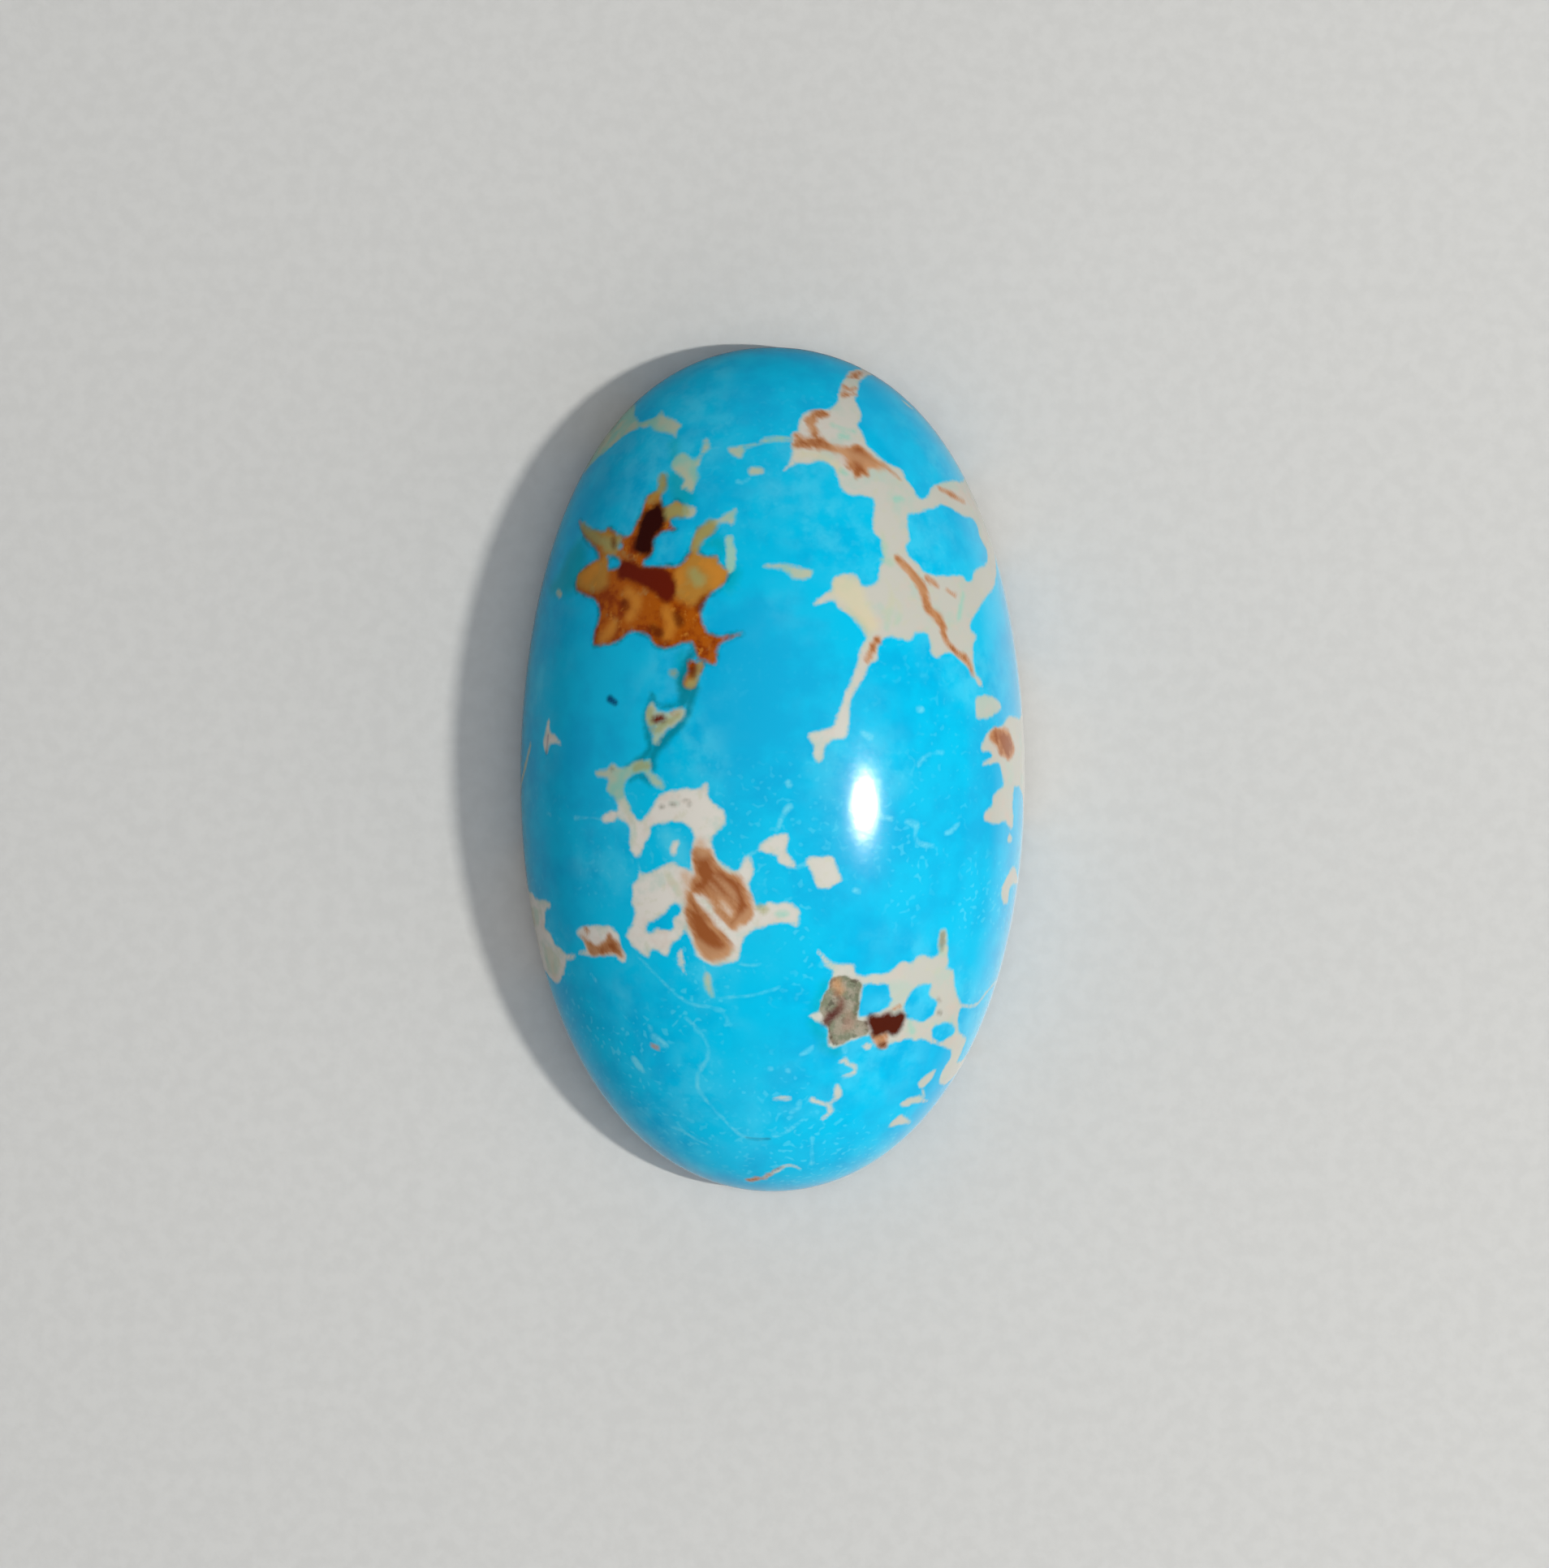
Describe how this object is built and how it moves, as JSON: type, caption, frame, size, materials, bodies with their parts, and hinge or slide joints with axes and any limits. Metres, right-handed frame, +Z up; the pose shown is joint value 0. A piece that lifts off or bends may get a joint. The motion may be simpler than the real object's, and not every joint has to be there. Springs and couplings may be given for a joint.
{
  "type": "turquoise cabochon",
  "caption": "Polished oval turquoise stone with a high smooth dome, a narrow girdle and a flat back, veined with cream and rust-brown matrix.",
  "frame": {"origin": "middle of the flat back, on the surface that the stone rests on", "axes": "+Y along the stone's length, +X across its width, +Z up through the top of the dome"},
  "size_m": [0.015, 0.025, 0.0072],
  "materials": {
    "polished_turquoise": "polished, sky blue with cream, ochre and rust-brown matrix"
  },
  "bodies": {
    "root": {"turquoise_cabochon": "polished_turquoise"}
  },
  "joints": []
}
